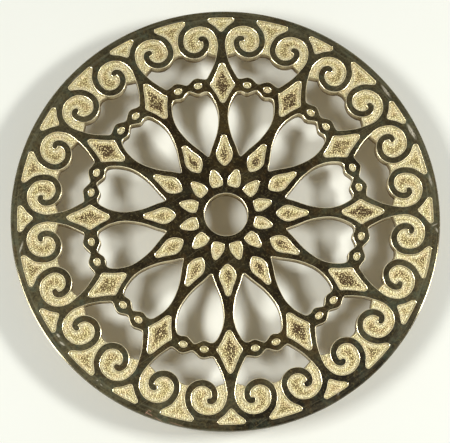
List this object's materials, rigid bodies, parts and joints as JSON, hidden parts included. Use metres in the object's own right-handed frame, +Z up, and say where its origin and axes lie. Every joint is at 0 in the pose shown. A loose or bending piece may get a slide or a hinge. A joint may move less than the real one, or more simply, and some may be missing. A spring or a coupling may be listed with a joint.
{
  "type": "trivet",
  "caption": "Round cast brass openwork trivet: dark polished scroll and petal tracery over sunk stippled grounds, on short turned feet with rubber pads.",
  "frame": {"origin": "on the table, below the middle of the plate", "axes": "+Z up out of the plate; +X and +Y each run over a foot, along the middle line of a lozenge"},
  "size_m": [0.203, 0.203, 0.022],
  "materials": {
    "plate_brass": "dark patina, polished on the raised tracery; pale gold stipple in the sunk grounds",
    "foot_brass": "turned, lightly tarnished",
    "screw_steel": "satin",
    "pad_rubber": "matt"
  },
  "bodies": {
    "root": {"openwork_plate": "plate_brass", "foot_right": "foot_brass", "foot_rear": "foot_brass", "foot_left": "foot_brass", "foot_front": "foot_brass", "foot_screw_right": "screw_steel", "foot_screw_rear": "screw_steel", "foot_screw_left": "screw_steel", "foot_screw_front": "screw_steel", "foot_pad_right": "pad_rubber", "foot_pad_rear": "pad_rubber", "foot_pad_left": "pad_rubber", "foot_pad_front": "pad_rubber"}
  },
  "joints": []
}
